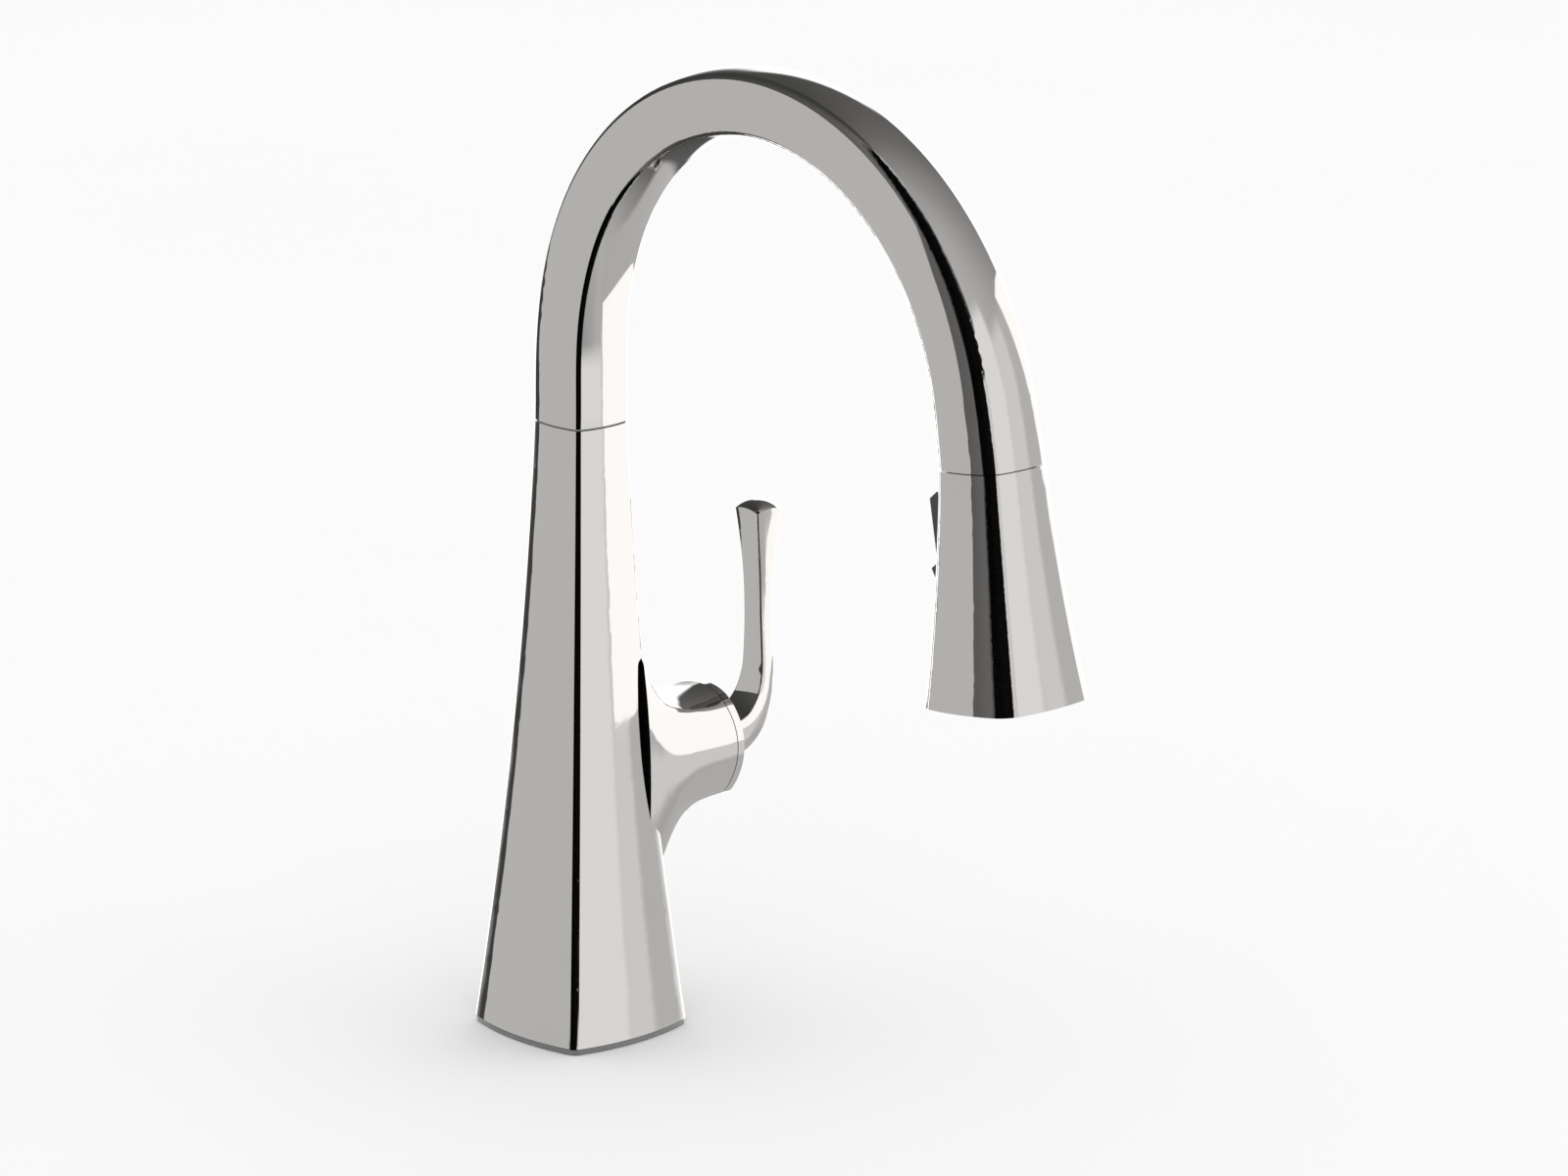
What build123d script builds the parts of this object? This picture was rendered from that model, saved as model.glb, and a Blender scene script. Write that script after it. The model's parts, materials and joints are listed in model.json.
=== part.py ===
from build123d import *
import math
import os

# Pull down kitchen faucet, in millimetres.
# Frame: origin where the body axis meets the deck, +Z up, spout toward -Y, handle on +X.

# ---- driving dimensions -------------------------------------------------------------
SEAM_Z = 265.0            # top of the body, where the spout turns
BODY_START = 2.8          # underside of the body shell, above the base ring
# z and half width of the body
BODY_HALF = [(BODY_START, 32.1), (60.0, 26.4), (120.0, 21.4), (195.0, 16.7), (264.6, 13.9)]
BULGE = 0.16              # bow of a pillow face over its half width
BODY_WALL = 3.0
CORNER_TOP = 2.2
CORNER_BASE = 4.0

BOSS_Z = 113.8            # height of the handle axis
BOSS_BULGE = 5.2
BOSS_CORNER = 5.5
BOSS_RISE = 18.6          # the boss at its seam: above, below and beside the axis
BOSS_DROP = 19.4
BOSS_HALF = 19.5
# x, rise, drop and half width of the boss as it grows out of the body
BOSS_SECTIONS = [(17.0, 48.0, 64.0, 20.5), (24.0, 34.5, 52.0, 20.2), (31.0, 26.2, 39.0, 19.8),
                 (41.0, 20.8, 25.5, 19.5), (53.0, BOSS_RISE, 20.3, BOSS_HALF),
                 (66.0, BOSS_RISE, BOSS_DROP, BOSS_HALF), (80.0, BOSS_RISE, BOSS_DROP, BOSS_HALF)]
PIVOT_X = 43.0            # centre of the handle's sphere, and its lift axis
SEAM_RADIUS = 35.1        # sphere on which the handle slides
SEAM_GAP = 0.3
HANDLE_RADIUS = 38.0      # outer sphere of the handle disc
VALVE_BORE = 18.0

LEG_TOP = 292.8           # end of the spout's straight leg
ARCH = [(142.0, 21.5), (111.5, 80.0), (128.3, 60.0), (187.0, 11.9)]   # radius, degrees
SPOUT_HALF = 13.9
SPOUT_SLIMMING = 1.9      # lost toward the crest of the arch
SPOUT_SWELLING = 3.35     # gained from there to the head
SPOUT_BORE = 9.8
SPOUT_WALL = 2.4
HEAD_LENGTH = 94.0
HEAD_SECTIONS = [(0.4, 6.3), (24.0, 7.2), (48.0, 8.3), (72.0, 9.5), (HEAD_LENGTH, 10.6)]   # down, corner
HEAD_START = 15.4         # half width at the seam, then its growth with distance down
HEAD_SLOPE = 0.0543
HEAD_CURVE = 0.00038
HEAD_ROOF = 3.0
HEAD_BULGE = 0.145
HEAD_WALL = 2.2

HOSE_RADIUS = 5.2
SHANK_RADIUS = 16.0
SHANK_BORE = 13.6
SHANK_END = -58.0
DECK = 30.0               # thickness of the counter that the nut clamps
TUBE_RADIUS = 3.2
TUBE_BORE = 2.3
TUBE_RING = 9.4           # radius on which the tubes pass the shank

CAVITY_TOP = 227.0        # the body is hollow up to here, the neck above it
NECK_BORE = 10.6
SWIVEL_RADIUS = 9.4
CLIP_Z = 224.6

VALVE_START = 7.2         # stations along the handle axis, as X
VALVE_FACE = 20.5
FIXED_DISC = 23.4
DISC_THICK = 4.0
CARRIER = 31.55
CARRIER_END = 38.0
HOUSING_END = 47.0
SLEEVE_END = 56.0
BONNET_START = 56.5
BALL_X = 34.6
STEM_END = 88.0
STEM_RADIUS = 3.2
STEM_BALL = 2.4
STEM_SWING = 1.1          # room round the stem's ball as the stem tilts
PIN_RADIUS = 1.5
DISC_OFFSET = 1.5         # the closed disc sits off the axis
FAN_HALF = 66.0
PORT_X = 12.6
PORT_DROP = 14.0
PORT_Y = 9.0
SET_SCREW_X = 84.0
LEVER_TOP = 213.4
# x, z, heading in degrees from +X, half depth and half width of the lever
LEVER_SECTIONS = [(76.0, 112.4, 0.0, 8.4, 8.8), (86.5, 112.7, 8.0, 7.1, 8.6),
                  (97.0, 121.0, 48.0, 5.3, 7.9), (101.6, 131.5, 72.0, 3.9, 6.9),
                  (102.8, 145.0, 87.0, 3.5, 6.1), (102.6, 163.0, 90.0, 3.5, 5.4),
                  (102.4, 181.0, 90.0, 4.1, 5.5), (102.2, 197.0, 89.0, 5.5, 6.1),
                  (102.1, 208.0, 89.0, 6.8, 6.9), (102.1, 215.0, 89.0, 7.6, 7.5)]
LEVER_BULGE = 0.09
LEVER_CORNER = 0.7
LEVER_DOME = 14.0         # radius of the lever's rounded tip

NUT_TOP = -35.2
NUT_SCREW_RING = 20.6
THREAD_PITCH = 2.4
THREAD_TURNS = 11
INLET_FOOT = -96.0
OUTLET_FOOT = -90.0
HOSE_FOOT = -74.0

SPIGOT_TOP = 15.4         # stations along the head's axis, up from its seam
DOCK_DEPTH = 24.0
ROCKER_TOP = 8.6          # stations down from the head's seam
ROCKER_FOOT = 35.0
ROCKER_HALF = 13.0        # half width of the rocker and of the key
ROCKER_RISE = 4.2
ROCKER_PIVOT = 22.0
ROCKER_PIVOT_Y = 13.0
HUB_RADIUS = 2.9
SPOOL_DOWN = 31.0
SPOOL_START = 6.0
SPOOL_END = 16.8
BUTTON_TOP = 38.0
BUTTON_FOOT = 45.2
BUTTON_MID = 41.6
BUTTON_RISE = 3.4
KEY_GAP = 0.45            # around the rocker and the key in the shell
CORE_RADIUS = 11.3
CORE_TOP = -18.7
AERATOR_RADIUS = 9.0

UP = (Align.CENTER, Align.CENTER, Align.MIN)


# ---- shared shapes ------------------------------------------------------------------
def pillow(half_u, half_v, bulge_u, bulge_v, corner):
    """A rectangle whose sides bow outward and whose corners are rounded."""
    south = ThreePointArc((-half_u, -half_v), (0, -half_v - bulge_v), (half_u, -half_v))
    east = ThreePointArc((half_u, -half_v), (half_u + bulge_u, 0), (half_u, half_v))
    north = ThreePointArc((half_u, half_v), (0, half_v + bulge_v), (-half_u, half_v))
    west = ThreePointArc((-half_u, half_v), (-half_u - bulge_u, 0), (-half_u, -half_v))
    face = make_face([south, east, north, west])
    return fillet(face.vertices(), corner)


def square(half, corner, bulge=BULGE):
    return pillow(half, half, bulge * half, bulge * half, corner)


def disc(radius, z0, z1):
    return Pos(0, 0, z0) * Cylinder(radius, z1 - z0, align=UP)


def tube(outer, inner, z0, z1):
    return disc(outer, z0, z1) - disc(inner, z0 - 1, z1 + 1)


def on_valve_axis(solid):
    """Move a solid built along +Z onto the handle axis, +Z becoming +X."""
    return Pos(0, 0, BOSS_Z) * Rot(0, 90, 0) * solid


def spring(radius, wire, pitch, length):
    """A helical spring standing on z = 0, its coils apart."""
    path = Helix(pitch, length, radius)
    return sweep(Plane(path @ 0, z_dir=path % 0) * Circle(wire), path)


def ball(radius):
    return Pos(PIVOT_X, 0, BOSS_Z) * Sphere(radius)


# ---- the spout's centre line ----------------------------------------------------------
def arch_points(step=10.0):
    """(y, z, heading) along the arch; the heading turns from +Z toward -Y."""
    y, z, heading = 0.0, LEG_TOP, 0.0
    points = [(y, z, heading)]
    for radius, degrees in ARCH:
        count = max(1, round(degrees / step))
        turn = math.radians(degrees / count)
        for _ in range(count):
            chord = 2 * radius * math.sin(turn / 2)
            y -= chord * math.sin(heading + turn / 2)
            z += chord * math.cos(heading + turn / 2)
            heading += turn
            points.append((y, z, heading))
    return points


HEAD_Y, HEAD_Z, HEAD_HEADING = arch_points()[-1]
HEAD_UP = (0, math.sin(HEAD_HEADING), -math.cos(HEAD_HEADING))
HEAD_FRAME = Location(Plane((0, HEAD_Y, HEAD_Z), x_dir=(1, 0, 0), z_dir=HEAD_UP))


def centre_line(foot=SEAM_Z):
    """The hose's path: up the leg, over the arch and down into the spray head."""
    wire = [Line((0, 0, foot), (0, 0, LEG_TOP))]
    for radius, degrees in ARCH:
        last = wire[-1]
        wire.append(arc_from(last @ 1, last % 1, radius, degrees))
    return Wire(wire)


def arc_from(start, direction, radius, degrees):
    """An arc in the YZ plane that leaves `start` and turns toward -Y and down."""
    heading = math.atan2(-direction.Y, direction.Z)
    half, full = math.radians(degrees / 2), math.radians(degrees)

    def ahead(turn):
        chord = 2 * radius * math.sin(turn / 2)
        angle = heading + turn / 2
        return start + Vector(0, -chord * math.sin(angle), chord * math.cos(angle))

    return ThreePointArc(start, ahead(half), ahead(full))


def arch_plane(point):
    y, z, heading = point
    return Plane((0, y, z), x_dir=(1, 0, 0), z_dir=(0, -math.sin(heading), math.cos(heading)))


# ---- body ---------------------------------------------------------------------------
def body_corner(z):
    return CORNER_TOP + (CORNER_BASE - CORNER_TOP) * (SEAM_Z - z) / SEAM_Z


def column(inset):
    faces = [Pos(0, 0, z) * square(half - inset, body_corner(z)) for z, half in BODY_HALF]
    return loft(faces)


def boss_outline(x, rise=BOSS_RISE, drop=BOSS_DROP, half_y=BOSS_HALF):
    """The boss's pillow section at x."""
    middle = BOSS_Z + (rise - drop) / 2
    face = pillow(half_y, (rise + drop) / 2, BOSS_BULGE, BOSS_BULGE, BOSS_CORNER)
    return Plane((x, 0, middle), x_dir=(0, 1, 0), z_dir=(1, 0, 0)) * face


def boss():
    faces = []
    for x, rise, drop, half_y in BOSS_SECTIONS:
        faces.append(boss_outline(x, rise, drop, half_y))
    return loft(faces)


def seam_envelope():
    """Everything short of the sphere on which the handle slides, turned about its axis."""
    shoulder, wide, bend = 12.0, 70.0, math.radians(35)
    rim = (PIVOT_X + shoulder, math.sqrt(SEAM_RADIUS ** 2 - shoulder ** 2))
    middle = (PIVOT_X + SEAM_RADIUS * math.cos(bend), SEAM_RADIUS * math.sin(bend))
    tip = (PIVOT_X + SEAM_RADIUS, 0)
    straight = Polyline(tip, (0, 0), (0, wide), (rim[0], wide), rim)
    face = make_face(straight.edges() + [ThreePointArc(rim, middle, tip)])
    return Pos(0, 0, BOSS_Z) * revolve(face, Axis.X, 360)


def body_shell():
    cavity = column(BODY_WALL) & Pos(0, 0, CAVITY_TOP - 250) * Box(90, 90, 500)
    bore = on_valve_axis(disc(VALVE_BORE, 6.0, 90.0))
    neck = disc(NECK_BORE, 100.0, SEAM_Z + 5)
    return column(0.0) + (boss() & seam_envelope()) - cavity - bore - neck


def base_ring():
    plate = extrude(Pos(0, 0, 0.5) * square(31.8, CORNER_BASE), 2.0)
    return plate - disc(SHANK_RADIUS + 0.4, -1, 5)


def base_gasket():
    plate = extrude(square(30.8, CORNER_BASE), 0.5)
    return plate - disc(SHANK_RADIUS + 0.4, -1, 5)


def mounting_shank():
    """Threaded tube under the body; each groove stands for a turn of the thread."""
    shank = disc(SHANK_RADIUS, SHANK_END, 6.6) + disc(22.0, 2.6, 6.6)
    for turn in range(THREAD_TURNS):
        z = SHANK_END + 2 + turn * THREAD_PITCH
        shank -= tube(SHANK_RADIUS + 1, SHANK_RADIUS - 0.8, z, z + 0.9)
    return shank - disc(SHANK_BORE, SHANK_END - 1, 10)


def mounting_nut():
    nut = extrude(Pos(0, 0, NUT_TOP - 11) * RegularPolygon(26, 6), 11)
    nut -= disc(SHANK_RADIUS + 0.15, -60, 0)
    for side in (-1, 1):
        nut -= Pos(side * NUT_SCREW_RING, 0, 0) * disc(2.6, -60, 0)
    return nut


def nut_screws():
    """Two screws through the nut that press the steel washer up."""
    screw = disc(2.45, NUT_TOP - 18, NUT_TOP - 0.1) + disc(4.0, NUT_TOP - 22, NUT_TOP - 18)
    screw -= extrude(Pos(0, 0, NUT_TOP - 22.1) * Rectangle(1.0, 6.0), 1.4)
    return [Pos(side * NUT_SCREW_RING, 0, 0) * screw for side in (-1, 1)]


# ---- water tubes --------------------------------------------------------------------
def tube_route(angle, top_y, foot):
    """From a port under the valve body down through the shank, as two bends."""
    ring_x = TUBE_RING * math.cos(math.radians(angle))
    ring_y = TUBE_RING * math.sin(math.radians(angle))
    top = (PORT_X, top_y, BOSS_Z - PORT_DROP)
    high = (PORT_X, top_y, 78.0)
    low = (ring_x, ring_y, 30.0)
    bend = Spline(high, low, tangents=[(0, 0, -1), (0, 0, -1)])
    return Wire([Line(top, high), bend, Line(low, (ring_x, ring_y, foot))])


def water_tube(angle, top_y, foot):
    path = tube_route(angle, top_y, foot)
    face = Plane(path @ 0, z_dir=path % 0) * (Circle(TUBE_RADIUS) - Circle(TUBE_BORE))
    return sweep(face, path)


def nipple(angle, radius, foot, length):
    x = TUBE_RING * math.cos(math.radians(angle))
    y = TUBE_RING * math.sin(math.radians(angle))
    body = tube(radius, TUBE_RADIUS + 0.03, foot, foot + length)
    return Pos(x, y, 0) * (body - tube(radius + 1, radius - 0.5, foot + 2, foot + 3))


# ---- valve and cartridge, built along +Z and laid on the handle axis ------------------
def port_places():
    """Hot, cold and outlet ports as (up, side) places on the valve's end."""
    return [(-3.4, -8.0), (-3.4, 8.0), (5.6, 0.0)]


def ports(radius, x0, x1):
    holes = Sketch()
    for up, side in port_places():
        holes += Pos(-up, side) * Circle(radius)
    return extrude(Pos(0, 0, x0) * holes, x1 - x0)


def valve_body():
    block = disc(17.8, VALVE_START, VALVE_FACE) + tube(17.8, 16.0, VALVE_FACE - 1, SLEEVE_END)
    block -= ports(2.3, VALVE_FACE - 7, VALVE_FACE + 1)
    solid = on_valve_axis(block)
    for side in (-PORT_Y, PORT_Y, 0.0):
        solid -= Pos(PORT_X, side, BOSS_Z - 30) * disc(TUBE_RADIUS + 0.03, 0, 30 - PORT_DROP + 4)
        solid -= Pos(PORT_X, side, BOSS_Z - 30) * disc(2.3, 0, 35)
    return solid - disc(HOSE_RADIUS + 1.2, 80, 150)


def cartridge_housing():
    cup = disc(15.8, VALVE_FACE + 0.1, HOUSING_END) - disc(13.9, FIXED_DISC - 0.1, HOUSING_END + 1)
    return on_valve_axis(cup - ports(3.3, VALVE_FACE, FIXED_DISC + 1))


def port_seals():
    seal = tube(3.2, 2.3, VALVE_FACE + 0.15, FIXED_DISC - 0.15)
    return [on_valve_axis(Pos(-up, side, 0) * seal) for up, side in port_places()]


def fixed_ceramic_disc():
    plate = disc(13.7, FIXED_DISC, FIXED_DISC + DISC_THICK)
    return on_valve_axis(plate - ports(2.3, FIXED_DISC - 1, FIXED_DISC + DISC_THICK + 1))


def moving_ceramic_disc():
    """Its pocket joins the inlet ports to the outlet as it slides."""
    start = FIXED_DISC + DISC_THICK + 0.05
    plate = Pos(DISC_OFFSET, 0, 0) * disc(9.8, start, start + DISC_THICK)
    pocket = Pos(DISC_OFFSET - 1.5, 0, start - 1) * extrude(Ellipse(5.2, 6.4), 3.0)
    return on_valve_axis(plate - pocket)


def disc_carrier():
    plate = Pos(DISC_OFFSET, 0, 0) * disc(9.8, CARRIER, CARRIER_END)
    return on_valve_axis(plate - disc(STEM_BALL + STEM_SWING, CARRIER + 0.3, CARRIER_END + 1))


def cartridge_rotor():
    rotor = disc(13.85, CARRIER_END + 0.4, HOUSING_END - 0.3)
    rotor -= Pos(0, 0, CARRIER_END) * Box(13.6, 9.6, 40, align=UP)
    pin_hole = Pos(PIVOT_X, 0, BOSS_Z) * Rot(90, 0, 0) * Cylinder(PIN_RADIUS + 0.02, 40)
    return on_valve_axis(rotor) - pin_hole


def stem_pin():
    return Pos(PIVOT_X, 0, BOSS_Z) * Rot(90, 0, 0) * Cylinder(PIN_RADIUS, 26)


def valve_stem():
    """Lever inside the cartridge: ball, neck, pivot hub and shaft."""
    stem = Pos(0, 0, BALL_X) * Sphere(STEM_BALL) + disc(1.8, BALL_X, PIVOT_X)
    stem += Pos(0, 0, PIVOT_X) * Rot(90, 0, 0) * Cylinder(4.6, 9.0)
    stem += disc(STEM_RADIUS, PIVOT_X, STEM_END)
    stem -= Pos(0, 0, PIVOT_X) * Rot(90, 0, 0) * Cylinder(PIN_RADIUS + 0.05, 20)
    return on_valve_axis(stem)


def cartridge_nut():
    nut = disc(15.9, HOUSING_END + 0.1, HOUSING_END + 6.5)
    return on_valve_axis(nut - extrude(Pos(0, 0, 40) * RegularPolygon(13.2, 6), 20))


def stem_fan():
    """Room in the bonnet for the stem's lift at every temperature."""
    reach, spread = 45.0, math.radians(27.8)
    edge = (reach * math.cos(spread), -reach * math.sin(spread))
    wedge = Polyline((0, 0), (reach, 0), edge, close=True)
    face = Plane.XZ * make_face(wedge)
    fan = revolve(Rot(-FAN_HALF, 0, 0) * face, Axis.X, 2 * FAN_HALF)
    return Pos(PIVOT_X, 0, BOSS_Z) * fan + on_valve_axis(disc(STEM_RADIUS + 0.7, 50, 90))


def bonnet():
    """Domed cap that closes the boss and carries the handle's sliding sphere."""
    cap = on_valve_axis(disc(17.8, BONNET_START, 90)) & ball(SEAM_RADIUS)
    cap -= on_valve_axis(disc(15.2, 50, 90)) & ball(SEAM_RADIUS - 2.6)
    return cap - stem_fan()


# ---- handle -------------------------------------------------------------------------
def lever():
    faces = []
    for x, z, heading, half_in, half_y in LEVER_SECTIONS:
        angle = math.radians(heading)
        plane = Plane((x, 0, z), x_dir=(0, 1, 0), z_dir=(math.cos(angle), 0, math.sin(angle)))
        section = pillow(half_y, half_in, LEVER_BULGE * half_y, LEVER_BULGE * half_in, LEVER_CORNER)
        faces.append(plane * section)
    above = Pos(0, 0, 30) * Box(60, 60, 60) - Sphere(LEVER_DOME)
    return loft(faces) - Pos(LEVER_SECTIONS[-1][0], 0, LEVER_TOP - LEVER_DOME) * above


def handle():
    """Spherical disc over the bonnet, with the lever growing out of it."""
    prism = extrude(boss_outline(55), 40, dir=(1, 0, 0))
    solid = (prism & ball(HANDLE_RADIUS)) + lever() - ball(SEAM_RADIUS + SEAM_GAP)
    solid -= on_valve_axis(disc(STEM_RADIUS + 0.05, 60, STEM_END + 0.4))
    return solid - Pos(SET_SCREW_X, 0, BOSS_Z - 20) * disc(2.55, 0, 20)


def set_screw():
    screw = disc(2.5, BOSS_Z - 7.4, BOSS_Z - STEM_RADIUS - 0.1)
    socket = extrude(Pos(0, 0, BOSS_Z - 7.5) * RegularPolygon(1.4, 6), 2.2)
    return Pos(SET_SCREW_X, 0, 0) * (screw - socket)


def set_screw_cap():
    return Pos(SET_SCREW_X, 0, 0) * disc(2.5, BOSS_Z - 9.2, BOSS_Z - 7.6)


# ---- spout --------------------------------------------------------------------------
def spout_sections():
    """Half width and corner radius change smoothly with distance along the centre line."""
    points = arch_points()
    stations = [(0.0, SEAM_Z + 0.5, 0.0), (0.0, 279.0, 0.0)] + points
    travelled = [0.0, 14.0]
    for before, after in zip(stations[1:], stations[2:]):
        step = math.hypot(after[0] - before[0], after[1] - before[1])
        travelled.append(travelled[-1] + step)
    total = travelled[-1]
    return [(station, way / total) for station, way in zip(stations, travelled)]


def spout_half(share):
    """Slims to the crest of the arch, then swells to meet the spray head."""
    slimmed = SPOUT_SLIMMING * math.sin(math.pi * min(share, 0.62) / 1.24) ** 1.3
    swell = SPOUT_SWELLING * max(0.0, (share - 0.45) / 0.55) ** 1.7
    return SPOUT_HALF - slimmed + swell


def spout_corner(share):
    return CORNER_TOP + 4.3 * share ** 2


def spout_tube():
    faces = []
    hollows = []
    for station, share in spout_sections():
        half, corner = spout_half(share), spout_corner(share)
        faces.append(arch_plane(station) * square(half, corner, HEAD_BULGE))
        hollows.append(arch_plane(station) * square(half - SPOUT_WALL, corner, HEAD_BULGE))
    outer = loft(faces)
    inner = loft(hollows[2:-1])
    path = centre_line()
    bore = sweep(Plane(path @ 0, z_dir=path % 0) * Circle(SPOUT_BORE), path)
    dock = HEAD_FRAME * disc(SPOUT_BORE, -1, DOCK_DEPTH)
    return outer - inner - bore - dock


def swivel_insert():
    """Turns with the spout inside the body's neck, held by a clip in its groove."""
    insert = disc(SWIVEL_RADIUS, CLIP_Z - 2.4, SEAM_Z) + disc(9.7, SEAM_Z + 0.6, 284)
    insert += disc(SWIVEL_RADIUS, SEAM_Z - 1, SEAM_Z + 1)
    insert -= tube(12, 8.7, CLIP_Z - 0.1, CLIP_Z + 1.9)
    return insert - disc(7.0, 200, 300)


def swivel_clip():
    clip = tube(11.6, 8.8, CLIP_Z, CLIP_Z + 1.8)
    return clip - Pos(0, 10, CLIP_Z) * Box(4, 20, 4)


def glide_ring(z):
    return tube(NECK_BORE - 0.1, SWIVEL_RADIUS + 0.05, z, z + 5)


def seam_ring():
    plate = extrude(Pos(0, 0, SEAM_Z - 0.25) * square(13.35, CORNER_TOP), 0.6)
    return plate - disc(NECK_BORE, 200, 300)


def hose():
    path = centre_line(foot=HOSE_FOOT)
    wall = Circle(HOSE_RADIUS) - Circle(3.6)
    long_tube = sweep(Plane(path @ 0, z_dir=path % 0) * wall, path)
    return long_tube - HEAD_FRAME * Box(30, 30, 2.4)


def hose_end_ferrule():
    return tube(5.95, HOSE_RADIUS + 0.03, HOSE_FOOT + 0.5, HOSE_FOOT + 14)


def docking_guide():
    return HEAD_FRAME * tube(SPOUT_BORE - 0.1, 9.05, 0.9, SPIGOT_TOP + 0.8)


def dock_magnet():
    return HEAD_FRAME * tube(SPOUT_BORE - 0.15, 7.0, SPIGOT_TOP + 2.8, DOCK_DEPTH - 0.4)


# ---- hose end that slides out with the head --------------------------------------------
def hose_run():
    return HEAD_FRAME * tube(HOSE_RADIUS, 3.6, -6.0, -1.4)


def hose_crimp():
    return HEAD_FRAME * tube(6.1, 3.6, -12.0, -6.1)


def hose_swivel_nut():
    nut = extrude(Pos(0, 0, -17.8) * RegularPolygon(7.3, 6), 5.6)
    return HEAD_FRAME * (nut - disc(3.2, -30, 0))


# ---- spray head ------------------------------------------------------------------------
def head_half(down):
    return HEAD_START + HEAD_SLOPE * down + HEAD_CURVE * down ** 2


def head_crown(down):
    """Distance of the back face's crown from the head's axis."""
    return head_half(down) * (1 + HEAD_BULGE)


def head_solid(inset):
    faces = []
    for down, corner in HEAD_SECTIONS:
        face = square(head_half(down) - inset, corner - inset / 2, HEAD_BULGE)
        faces.append(Pos(0, 0, -down) * face)
    return loft(faces)


def head_shell():
    shell = head_solid(0.0) - (head_solid(HEAD_WALL) - Box(80, 80, 2 * HEAD_ROOF))
    shell -= disc(9.2, -10, 5)
    for top, foot in ((ROCKER_TOP, ROCKER_FOOT), (BUTTON_TOP, BUTTON_FOOT)):
        window = Box(2 * (ROCKER_HALF + KEY_GAP), 24, foot - top + 2 * KEY_GAP)
        shell -= Pos(0, 16, -(top + foot) / 2) * window
    return HEAD_FRAME * shell


def head_spigot():
    """Collar that enters the spout and holds the hose's swivel nut."""
    collar = tube(8.75, 6.4, -3.0, SPIGOT_TOP) + tube(10.6, 7.7, CORE_TOP + 0.2, -3.2)
    collar += tube(10.6, 6.4, -3.2, -3.0)
    return HEAD_FRAME * (collar + tube(8.75, 6.4, -3.2, 0))


def catch_ring():
    return HEAD_FRAME * tube(8.7, 6.5, SPIGOT_TOP + 0.05, SPIGOT_TOP + 1.8)


def waterway_core():
    """Inner body of the head, with ears for the rocker and a bore for the spool."""
    core = disc(CORE_RADIUS, -82.0, CORE_TOP) - disc(3.4, -36, -10) - disc(7.0, -83, -66)
    core -= disc(2.0, -70, -30)
    for side in (-1, 1):
        core += Pos(side * 7.6, ROCKER_PIVOT_Y - 2.3, -ROCKER_PIVOT) * Box(2.2, 9.4, 6.4)
    core += Pos(0, 11, -SPOOL_DOWN) * Box(7, 6, 7)
    core += Pos(0, 11, -BUTTON_MID) * Box(9, 5, 7)
    pivot = Pos(0, ROCKER_PIVOT_Y, -ROCKER_PIVOT) * Rot(0, 90, 0)
    core -= pivot * Cylinder(PIN_RADIUS + 0.02, 30)
    core -= pivot * Cylinder(HUB_RADIUS + 0.4, 12.9)
    core -= Pos(0, 3.0, -SPOOL_DOWN) * Rot(-90, 0, 0) * Cylinder(2.06, 30, align=UP)
    core -= Pos(0, 8.0, -BUTTON_MID) * Rot(-90, 0, 0) * Cylinder(3.4, 30, align=UP)
    return HEAD_FRAME * core


def rocker():
    """Two-position toggle: its raised top end goes flush as the foot comes out."""
    top, foot = ROCKER_TOP, ROCKER_FOOT
    profile = Polyline((head_crown(top) - 2.6, -top), (head_crown(top) + 0.2, -top - 0.7),
                       (head_crown(top) + ROCKER_RISE, -(top + 3.6)), (head_crown(foot) + 0.3, -foot),
                       (head_crown(foot) - 2.6, -foot), close=True)
    cap = extrude(Plane.YZ * make_face(profile), ROCKER_HALF, both=True)
    hub = Pos(0, ROCKER_PIVOT_Y, -ROCKER_PIVOT) * Rot(0, 90, 0) * Cylinder(HUB_RADIUS, 12.4)
    web = Pos(0, ROCKER_PIVOT_Y + 2.0, -ROCKER_PIVOT) * Box(12.4, 4.4, 4.6)
    hole = Pos(0, ROCKER_PIVOT_Y, -ROCKER_PIVOT) * Rot(0, 90, 0) * Cylinder(PIN_RADIUS + 0.05, 30)
    return HEAD_FRAME * (cap + hub + web - hole)


def rocker_pin():
    pin = Pos(0, ROCKER_PIVOT_Y, -ROCKER_PIVOT) * Rot(0, 90, 0) * Cylinder(PIN_RADIUS, 17.4)
    return HEAD_FRAME * pin


def diverter_spool():
    spool = Cylinder(2.0, SPOOL_END - SPOOL_START, align=UP)
    spool -= Pos(0, 0, 3.0) * (Cylinder(3, 2, align=UP) - Cylinder(1.4, 2, align=UP))
    return HEAD_FRAME * (Pos(0, SPOOL_START, -SPOOL_DOWN) * Rot(-90, 0, 0) * spool)


def boost_button():
    """Small push key below the rocker, with a guide stem."""
    top, foot = BUTTON_TOP, BUTTON_FOOT
    profile = Polyline((head_crown(top) - 2.4, -top), (head_crown(top) + 0.2, -top),
                       (head_crown(top) + BUTTON_RISE, -(top + 2.2)), (head_crown(foot) + 0.2, -foot),
                       (head_crown(foot) - 2.4, -foot), close=True)
    cap = extrude(Plane.YZ * make_face(profile), ROCKER_HALF, both=True)
    stem = Pos(0, 12.4, -BUTTON_MID) * Rot(-90, 0, 0) * Cylinder(1.2, 6.4, align=UP)
    return HEAD_FRAME * (cap + stem)


def button_spring():
    coil = spring(2.3, 0.35, 1.5, 8.5)
    return HEAD_FRAME * (Pos(0, 9.0, -BUTTON_MID) * Rot(-90, 0, 0) * coil)


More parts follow.
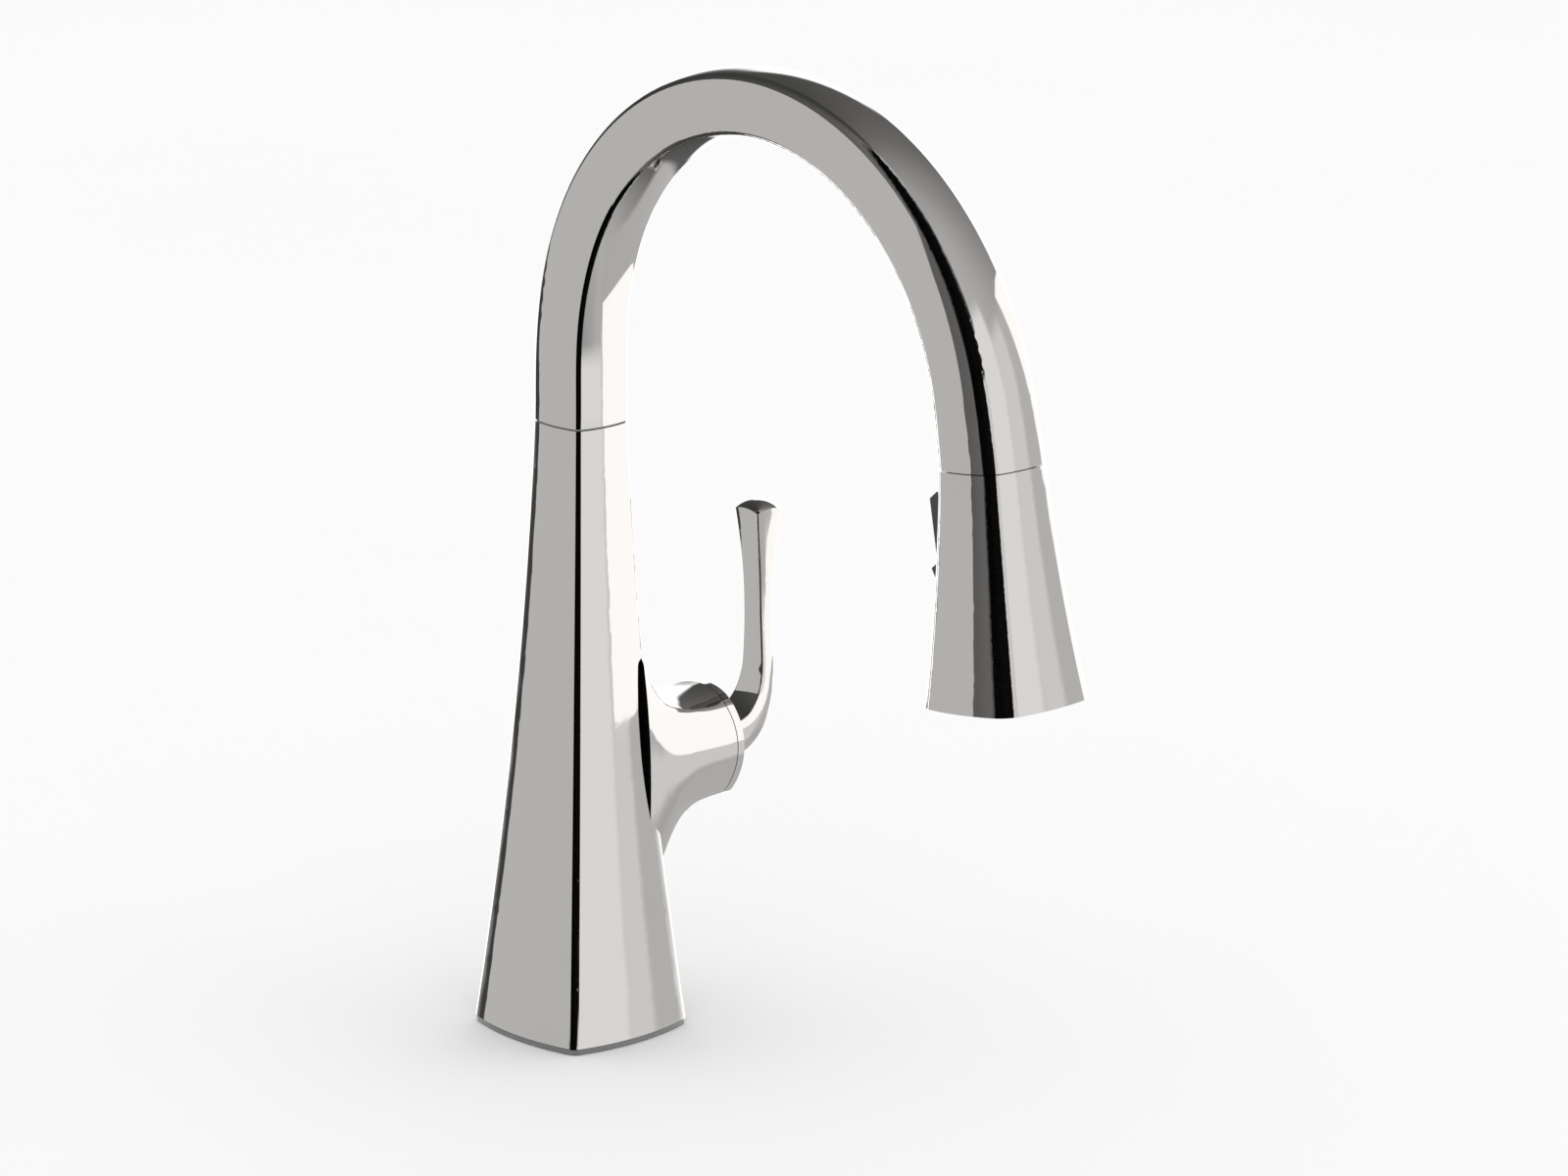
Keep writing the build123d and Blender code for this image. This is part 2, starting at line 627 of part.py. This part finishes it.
def face_ring_places():
    """Nozzle places in the spray face: rings of equal spacing."""
    places = []
    for ring, count in ((13.0, 14), (17.5, 20), (21.4, 24)):
        for index in range(count):
            angle = 2 * math.pi * index / count
            places.append((ring * math.cos(angle), ring * math.sin(angle)))
    return places


def spray_face():
    half = head_half(HEAD_LENGTH - 3.4) - HEAD_WALL - 0.25
    plate = extrude(Pos(0, 0, -HEAD_LENGTH + 0.8) * square(half, 9.5, HEAD_BULGE), 2.6)
    holes = Sketch()
    for x, y in face_ring_places():
        holes += Pos(x, y) * Circle(0.95)
    plate -= extrude(Pos(0, 0, -HEAD_LENGTH) * holes, 6)
    return HEAD_FRAME * (plate - disc(AERATOR_RADIUS + 0.1, -100, -80))


def spray_nozzles():
    nozzle = disc(0.85, -HEAD_LENGTH + 0.2, -HEAD_LENGTH + 3.6)
    nozzle -= disc(0.4, -HEAD_LENGTH, -80)
    return [HEAD_FRAME * (Pos(x, y, 0) * nozzle) for x, y in face_ring_places()]


def aerator_housing():
    return HEAD_FRAME * tube(AERATOR_RADIUS, AERATOR_RADIUS - 1.2, -HEAD_LENGTH + 0.4, -82.4)


def aerator_screen():
    """Slotted disc inside the aerator."""
    screen = disc(AERATOR_RADIUS - 1.3, -HEAD_LENGTH + 2.2, -HEAD_LENGTH + 3.0)
    slots = Sketch()
    for column_index in range(-4, 5):
        for row in range(-4, 5):
            if math.hypot(column_index, row) < 4.3:
                slots += Pos(column_index * 1.75, row * 1.75) * Rectangle(1.2, 1.2)
    return HEAD_FRAME * (screen - extrude(Pos(0, 0, -HEAD_LENGTH) * slots, 6))


def face_carrier():
    """Chamber ring between the core and the spray face."""
    ring = extrude(Pos(0, 0, -89.8) * square(head_half(88.2) - HEAD_WALL - 0.3, 8.0, HEAD_BULGE), 1.6)
    return HEAD_FRAME * (ring - disc(CORE_RADIUS + 0.2, -95, -80))


def check_valve():
    return HEAD_FRAME * tube(3.3, 1.6, -30.0, -20.0)


# ---- every node -----------------------------------------------------------------------
def nodes():
    return {
        "body_shell": body_shell(),
        "base_ring": base_ring(),
        "base_gasket": base_gasket(),
        "mounting_shank": mounting_shank(),
        "deck_washer": tube(27.0, SHANK_RADIUS + 0.4, -DECK - 3.0, -DECK),
        "steel_washer": tube(26.0, SHANK_RADIUS + 0.4, -DECK - 5.0, -DECK - 3.05),
        "mounting_nut": mounting_nut(),
        "nut_screws": nut_screws(),
        "hot_inlet_tube": water_tube(-100, -PORT_Y, INLET_FOOT),
        "cold_inlet_tube": water_tube(100, PORT_Y, INLET_FOOT),
        "outlet_tube": water_tube(0, 0.0, OUTLET_FOOT),
        "hot_inlet_nipple": nipple(-100, 6.0, INLET_FOOT, 16),
        "cold_inlet_nipple": nipple(100, 6.0, INLET_FOOT, 16),
        "outlet_nipple": nipple(0, 4.0, OUTLET_FOOT, 10),
        "valve_body": valve_body(),
        "cartridge_housing": cartridge_housing(),
        "port_seals": port_seals(),
        "fixed_ceramic_disc": fixed_ceramic_disc(),
        "moving_ceramic_disc": moving_ceramic_disc(),
        "disc_carrier": disc_carrier(),
        "cartridge_rotor": cartridge_rotor(),
        "stem_pin": stem_pin(),
        "valve_stem": valve_stem(),
        "cartridge_nut": cartridge_nut(),
        "bonnet": bonnet(),
        "handle": handle(),
        "set_screw": set_screw(),
        "set_screw_cap": set_screw_cap(),
        "spout_tube": spout_tube(),
        "swivel_insert": swivel_insert(),
        "swivel_clip": swivel_clip(),
        "upper_glide_ring": glide_ring(SEAM_Z - 8),
        "lower_glide_ring": glide_ring(SEAM_Z - 34),
        "seam_ring": seam_ring(),
        "hose": hose(),
        "hose_end_ferrule": hose_end_ferrule(),
        "docking_guide": docking_guide(),
        "dock_magnet": dock_magnet(),
        "hose_run": hose_run(),
        "hose_crimp": hose_crimp(),
        "hose_swivel_nut": hose_swivel_nut(),
        "head_shell": head_shell(),
        "head_spigot": head_spigot(),
        "catch_ring": catch_ring(),
        "waterway_core": waterway_core(),
        "check_valve": check_valve(),
        "rocker": rocker(),
        "rocker_pin": rocker_pin(),
        "diverter_spool": diverter_spool(),
        "boost_button": boost_button(),
        "button_spring": button_spring(),
        "face_carrier": face_carrier(),
        "spray_face": spray_face(),
        "spray_nozzles": spray_nozzles(),
        "aerator_housing": aerator_housing(),
        "aerator_screen": aerator_screen(),
    }


def save(name, shape):
    if isinstance(shape, list):
        shape = Compound(children=shape)
    export_step(shape, os.path.join("parts", name + ".step"))


os.makedirs("parts", exist_ok=True)
for node_name, node_shape in nodes().items():
    save(node_name, node_shape)
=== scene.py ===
"""Looks of the pull down kitchen faucet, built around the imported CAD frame."""

import json
import math

import bpy
from mathutils import Matrix, Vector

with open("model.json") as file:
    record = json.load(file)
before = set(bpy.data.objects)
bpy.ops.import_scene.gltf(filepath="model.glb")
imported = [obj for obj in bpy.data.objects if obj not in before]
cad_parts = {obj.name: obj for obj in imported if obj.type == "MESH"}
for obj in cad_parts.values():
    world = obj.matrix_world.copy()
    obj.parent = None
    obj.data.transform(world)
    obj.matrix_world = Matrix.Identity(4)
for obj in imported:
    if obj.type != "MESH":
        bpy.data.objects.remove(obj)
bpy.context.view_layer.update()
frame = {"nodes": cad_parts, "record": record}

# ---------------------------------------------------------------- camera
CAMERA_AT = Vector((-1.7211, -1.9292, 0.8942))
LOOK = Vector((0.66638, 0.69906, -0.26200)).normalized()
UP = Vector((0.17368, 0.19616, 0.96513))
LENS = 146.25
SENSOR = 36.0
FAR_CLIP = 50.0


def make_camera():
    """The reference view of the faucet."""
    data = bpy.data.cameras.new("camera")
    data.lens = LENS
    data.sensor_width = SENSOR
    data.clip_end = FAR_CLIP
    camera = bpy.data.objects.new("camera", data)
    bpy.context.collection.objects.link(camera)
    right = LOOK.cross(UP).normalized()
    up = right.cross(LOOK)
    turn = Matrix((right, up, -LOOK)).transposed()
    camera.matrix_world = Matrix.Translation(CAMERA_AT) @ turn.to_4x4()
    bpy.context.scene.camera = camera


# ---------------------------------------------------------------- node helpers
class Nodes:
    """A short way to write a material's node tree."""

    def __init__(self, tree):
        self.tree = tree
        self.tree.nodes.clear()

    def add(self, kind, **settings):
        """A node; settings are its own properties, and inputs={socket: value or link}."""
        inputs = settings.pop("inputs", {})
        node = self.tree.nodes.new(kind)
        for key, value in settings.items():
            setattr(node, key, value)
        for key, value in inputs.items():
            self.put(node, key, value)
        return node

    def put(self, node, key, value):
        """Sets or links one input."""
        socket = node.inputs[key]
        if isinstance(value, bpy.types.NodeSocket):
            self.tree.links.new(value, socket)
        else:
            socket.default_value = value

    def math(self, operation, a, b=0.0, clamp=False):
        """a (operation) b."""
        node = self.add("ShaderNodeMath", operation=operation, use_clamp=clamp, inputs={0: a, 1: b})
        return node.outputs[0]

    def scale(self, value, low_in, high_in, low, high):
        """Value carried from one range to another, and held inside it."""
        node = self.add(
            "ShaderNodeMapRange",
            inputs={"Value": value, "From Min": low_in, "From Max": high_in, "To Min": low, "To Max": high},
        )
        return node.outputs["Result"]

    def position(self):
        """Object coordinates in metres: each node's object sits at the origin."""
        return self.add("ShaderNodeTexCoord").outputs["Object"]

    def noise(self, size, detail=3.0, vector=None, roughness=0.55):
        """Noise with features about size metres across."""
        node = self.add(
            "ShaderNodeTexNoise",
            inputs={
                "Vector": vector or self.position(),
                "Scale": 1.0 / size,
                "Detail": detail,
                "Roughness": roughness,
            },
        )
        return node.outputs["Fac"]

    def tint(self, value, low, high):
        """A colour that runs from low to high as value goes from 0 to 1."""
        ramp = self.add("ShaderNodeValToRGB", inputs={"Fac": value})
        ramp.color_ramp.elements[0].color = (*low, 1.0)
        ramp.color_ramp.elements[1].color = (*high, 1.0)
        return ramp.outputs["Color"]

    def bump(self, height, distance, strength=1.0):
        """Small relief, distance in metres."""
        node = self.add(
            "ShaderNodeBump",
            inputs={"Height": height, "Distance": distance, "Strength": strength},
        )
        return node.outputs["Normal"]


def new_material(name):
    """An empty material and its node writer."""
    material = bpy.data.materials.new(name)
    material.use_nodes = True
    return material, Nodes(material.node_tree)


def finish_material(nodes, **inputs):
    """Principled surface with these inputs."""
    shader = nodes.add("ShaderNodeBsdfPrincipled", inputs=inputs)
    output = nodes.add("ShaderNodeOutputMaterial")
    nodes.tree.links.new(shader.outputs[0], output.inputs["Surface"])
    return shader


# Surface features in metres.
BUFFING_HAZE = 0.030
BUFFING_GRAIN = 0.0012
SLOW_RIPPLE = 0.045
RELIEF = 2.0e-5            # depth of the ripples in polished and the lines in turned metal
LATHE_LINE = 0.00035
METAL_BLOTCH = 0.006
GRAIN = 0.0006
GRAIN_RELIEF = 1.5e-5
PLASTIC_CLOUD = 0.012
WEAVE_STRANDS = 8.0        # strands round the hose each way
WEAVE_RUN = 900.0          # radians of weave along a metre of hose
WEAVE_RELIEF = 3.0e-4
FIBRE = 0.0008


def polished(name, low, high, rough_low, rough_high):
    """Mirror polished plating: faint buffing haze, slow ripples, a little colour drift."""
    material, n = new_material(name)
    haze = n.noise(BUFFING_HAZE, 4.0)
    fine = n.noise(BUFFING_GRAIN, 2.0)
    mixed = n.math("ADD", n.math("MULTIPLY", haze, 0.7), n.math("MULTIPLY", fine, 0.3))
    slow = n.noise(SLOW_RIPPLE, 1.0)
    finish_material(
        n,
        **{
            "Base Color": n.tint(haze, low, high),
            "Metallic": 1.0,
            "Roughness": n.scale(mixed, 0.3, 0.7, rough_low, rough_high),
            "Normal": n.bump(slow, RELIEF, 0.6),
        },
    )
    return material


def turned(name, low, high, rough_low, rough_high):
    """Machined or drawn metal: fine lathe lines round the vertical over slow blotches."""
    material, n = new_material(name)
    split = n.add("ShaderNodeSeparateXYZ", inputs={0: n.position()})
    along = n.add("ShaderNodeCombineXYZ", inputs={0: split.outputs["Z"]}).outputs[0]
    lines = n.noise(LATHE_LINE, 2.0, along)
    blotch = n.noise(METAL_BLOTCH, 3.0)
    finish_material(
        n,
        **{
            "Base Color": n.tint(blotch, low, high),
            "Metallic": 1.0,
            "Roughness": n.scale(lines, 0.3, 0.7, rough_low, rough_high),
            "Normal": n.bump(lines, RELIEF, 0.5),
        },
    )
    return material


def moulded(name, low, high, rough_low, rough_high, specular=0.5):
    """Moulded plastic or rubber with a fine spark-eroded grain."""
    material, n = new_material(name)
    fine = n.noise(GRAIN, 3.0)
    cloud = n.noise(PLASTIC_CLOUD, 3.0)
    finish_material(
        n,
        **{
            "Base Color": n.tint(cloud, low, high),
            "Roughness": n.scale(fine, 0.3, 0.7, rough_low, rough_high),
            "Normal": n.bump(fine, GRAIN_RELIEF, 0.7),
            "Specular IOR Level": specular,
        },
    )
    return material


def braided(name):
    """Woven nylon hose sleeve: two families of helices crossing over each other."""
    material, n = new_material(name)
    split = n.add("ShaderNodeSeparateXYZ", inputs={0: n.position()})
    turn = n.math("ARCTAN2", split.outputs["Y"], split.outputs["X"])
    run = n.math("MULTIPLY", split.outputs["Z"], WEAVE_RUN)
    round_hose = n.math("MULTIPLY", turn, WEAVE_STRANDS)
    left = n.math("SINE", n.math("ADD", round_hose, run))
    right = n.math("SINE", n.math("SUBTRACT", round_hose, run))
    weave = n.math("MULTIPLY", left, right)
    # The weave relief sets both the bump and the colour: painted shade darkens the hollows between the
    # strands.
    high = n.scale(weave, -1.0, 1.0, 0.0, 1.0)
    finish_material(
        n,
        **{
            "Base Color": n.tint(high, (0.025, 0.025, 0.028), (0.11, 0.11, 0.115)),
            "Roughness": n.scale(n.noise(FIBRE), 0.3, 0.7, 0.45, 0.62),
            "Normal": n.bump(high, WEAVE_RELIEF, 0.8),
        },
    )
    return material


# Each slot's darkest and lightest colour, then its lowest and highest roughness.
MATERIALS = {
    "polished_metal": polished(
        "polished_metal", (0.615, 0.598, 0.580), (0.640, 0.622, 0.604), 0.030, 0.050
    ),
    "bonnet_metal": polished("bonnet_metal", (0.55, 0.535, 0.52), (0.60, 0.585, 0.57), 0.08, 0.13),
    "ring_metal": moulded("ring_metal", (0.16, 0.16, 0.16), (0.20, 0.20, 0.20), 0.32, 0.45, specular=0.8),
    "steel": turned("steel", (0.50, 0.50, 0.51), (0.62, 0.62, 0.63), 0.18, 0.36),
    "brass": turned("brass", (0.62, 0.42, 0.17), (0.76, 0.55, 0.26), 0.20, 0.38),
    "copper_tube": turned("copper_tube", (0.66, 0.32, 0.19), (0.80, 0.44, 0.28), 0.18, 0.34),
    "black_rubber": moulded("black_rubber", (0.012, 0.012, 0.013), (0.028, 0.028, 0.03), 0.62, 0.82),
    "white_plastic": moulded("white_plastic", (0.66, 0.66, 0.63), (0.76, 0.76, 0.74), 0.32, 0.46),
    "seam_plastic": moulded("seam_plastic", (0.30, 0.30, 0.29), (0.38, 0.38, 0.37), 0.35, 0.5),
    "ceramic": moulded("ceramic", (0.74, 0.72, 0.68), (0.84, 0.83, 0.80), 0.10, 0.18),
    "hose_sleeve": braided("hose_sleeve"),
    "dark_plastic": moulded("dark_plastic", (0.030, 0.030, 0.031), (0.045, 0.045, 0.046), 0.28, 0.40),
    "magnet": turned("magnet", (0.30, 0.30, 0.31), (0.40, 0.40, 0.41), 0.30, 0.46),
    "nozzle_rubber": moulded("nozzle_rubber", (0.10, 0.10, 0.105), (0.15, 0.15, 0.155), 0.5, 0.7),
}


def dress_frame():
    """Each CAD node takes the finished material of its slot."""
    for part in frame["record"]["subparts"]:
        node = frame["nodes"][part["node"]]
        node.data.materials.clear()
        node.data.materials.append(MATERIALS[part["material_slot"]])


# ---------------------------------------------------------------- studio
FLOOR_HALF = 6.0
FLOOR_MOTTLE = 0.4


def panel(name, corners):
    """A flat four-cornered sheet."""
    data = bpy.data.meshes.new(name)
    data.from_pydata(corners, [], [(0, 1, 2, 3)])
    sheet = bpy.data.objects.new(name, data)
    bpy.context.collection.objects.link(sheet)
    return sheet


def make_floor():
    """A pale plain counter top under the base; the metal reflects the studio instead."""
    half = FLOOR_HALF
    floor = panel("floor", [(-half, -half, 0.0), (half, -half, 0.0), (half, half, 0.0), (-half, half, 0.0)])
    material, n = new_material("floor_paint")
    finish_material(
        n,
        **{
            "Base Color": n.tint(n.noise(FLOOR_MOTTLE), (0.90, 0.90, 0.90), (0.92, 0.92, 0.92)),
            "Roughness": 0.8,
            "Specular IOR Level": 0.1,
        },
    )
    floor.data.materials.append(material)
    floor.visible_glossy = False


# Cards close to the metal: two ends in plan, bottom and top, all in metres, then brightness.
CARDS = {
    "left_card": ((-0.595, 0.120), (-0.270, 0.750), -0.22, 0.50, 0.70),
    "front_card": ((0.274, -0.379), (0.470, -0.110), 0.062, 0.50, 1.55),
}


def make_card(name, start, end, bottom, top, level):
    """An upright white card that only shows as a reflection."""
    card = panel(name, [(*start, bottom), (*end, bottom), (*end, top), (*start, top)])
    material, n = new_material(name + "_light")
    glow = n.add("ShaderNodeEmission", inputs={"Color": (1.0, 1.0, 1.0, 1.0), "Strength": level})
    output = n.add("ShaderNodeOutputMaterial")
    n.tree.links.new(glow.outputs[0], output.inputs["Surface"])
    card.data.materials.append(material)
    card.visible_camera = False
    card.visible_diffuse = False
    card.visible_shadow = False


# The studio as the metal sees it. Degrees run clockwise, seen from above, from a line that is
# BACKDROP_AT degrees clockwise of +Y. Walls: (degrees round, brightness).
BACKDROP_AT = 60.0
WALLS = [(-180, 0.002), (-143, 0.002), (-132, 0.21), (-120, 0.155), (-105, 0.105), (-90, 0.080),
         (-70, 0.062), (-45, 0.062), (-30, 0.073), (-15, 0.10), (0, 0.15), (15, 0.22), (30, 0.33),
         (45, 0.42), (60, 0.52), (75, 0.60), (90, 0.66), (100, 0.52), (110, 0.28), (120, 0.04),
         (130, 0.004)]
# Soft boxes: first and last degree round, lowest and highest degree up, softness, brightness.
BOXES = [(-72, -22, -44, -9, 3, 1.9), (-20, 50, -24, 20, 3, 1.8), (50, 68, -22, 24, 3, 0.68),
         (68, 84, -22, 24, 3, 0.92), (84, 120, -16, 33, 3, 1.08), (120, 137, -2, 18, 2, 0.92),
         (0, 80, -52, -24, 3, 0.64)]
ROOM_LIGHT = 1.08
HALF_TURN = 180.0
MIX_A, MIX_B, MIX_RESULT = 6, 7, 2      # the Mix node's colour sockets


def inside(n, value, low, high, soft):
    """1 between low and high, falling smoothly to 0 over soft each side."""
    rise = n.add(
        "ShaderNodeMapRange",
        interpolation_type="SMOOTHSTEP",
        inputs={"Value": value, "From Min": low - soft, "From Max": low + soft},
    )
    fall = n.add(
        "ShaderNodeMapRange",
        interpolation_type="SMOOTHSTEP",
        inputs={"Value": value, "From Min": high + soft, "From Max": high - soft},
    )
    return n.math("MULTIPLY", rise.outputs["Result"], fall.outputs["Result"])


def make_world():
    """A white studio: plain to the camera and the floor, walls and soft boxes to the metal."""
    world = bpy.data.worlds.new("studio")
    bpy.context.scene.world = world
    world.use_nodes = True
    n = Nodes(world.node_tree)
    turned_back = n.add(
        "ShaderNodeVectorRotate",
        rotation_type="Z_AXIS",
        inputs={
            "Vector": n.add("ShaderNodeTexCoord").outputs["Generated"],
            "Angle": math.radians(BACKDROP_AT),
        },
    )
    way = n.add("ShaderNodeSeparateXYZ", inputs={0: turned_back.outputs[0]})
    to_degrees = math.degrees(1.0)
    round_way = n.math("MULTIPLY", n.math("ARCTAN2", way.outputs["X"], way.outputs["Y"]), to_degrees)
    up_way = n.math("MULTIPLY", n.math("ARCSINE", way.outputs["Z"]), to_degrees)
    ramp = n.add("ShaderNodeValToRGB", inputs={"Fac": n.scale(round_way, -HALF_TURN, HALF_TURN, 0.0, 1.0)})
    stops = ramp.color_ramp.elements
    stops.remove(stops[1])
    for index, (degree, level) in enumerate(WALLS):
        place = (degree + HALF_TURN) / (2.0 * HALF_TURN)
        stop = stops[0] if index == 0 else stops.new(place)
        stop.position = place
        stop.color = (level, level, level, 1.0)
    light = ramp.outputs["Color"]
    for first, last, low, high, soft, level in BOXES:
        share = n.math(
            "MULTIPLY", inside(n, round_way, first, last, soft), inside(n, up_way, low, high, soft)
        )
        mix = n.add("ShaderNodeMix", data_type="RGBA", inputs={"Factor": share})
        n.tree.links.new(light, mix.inputs[MIX_A])
        mix.inputs[MIX_B].default_value = (level, level, level, 1.0)
        light = mix.outputs[MIX_RESULT]
    path = n.add("ShaderNodeLightPath")
    room = n.add("ShaderNodeBackground", inputs={"Color": (1.0, 1.0, 1.0, 1.0), "Strength": ROOM_LIGHT})
    seen = n.add("ShaderNodeBackground", inputs={"Color": light})
    both = n.add("ShaderNodeMixShader", inputs={"Fac": path.outputs["Is Glossy Ray"]})
    n.tree.links.new(room.outputs[0], both.inputs[1])
    n.tree.links.new(seen.outputs[0], both.inputs[2])
    output = n.add("ShaderNodeOutputWorld")
    n.tree.links.new(both.outputs[0], output.inputs["Surface"])


bpy.context.scene.view_settings.view_transform = "Standard"
make_camera()
dress_frame()
make_floor()
make_world()
for card_name, (start, end, bottom, top, level) in CARDS.items():
    make_card(card_name, start, end, bottom, top, level)
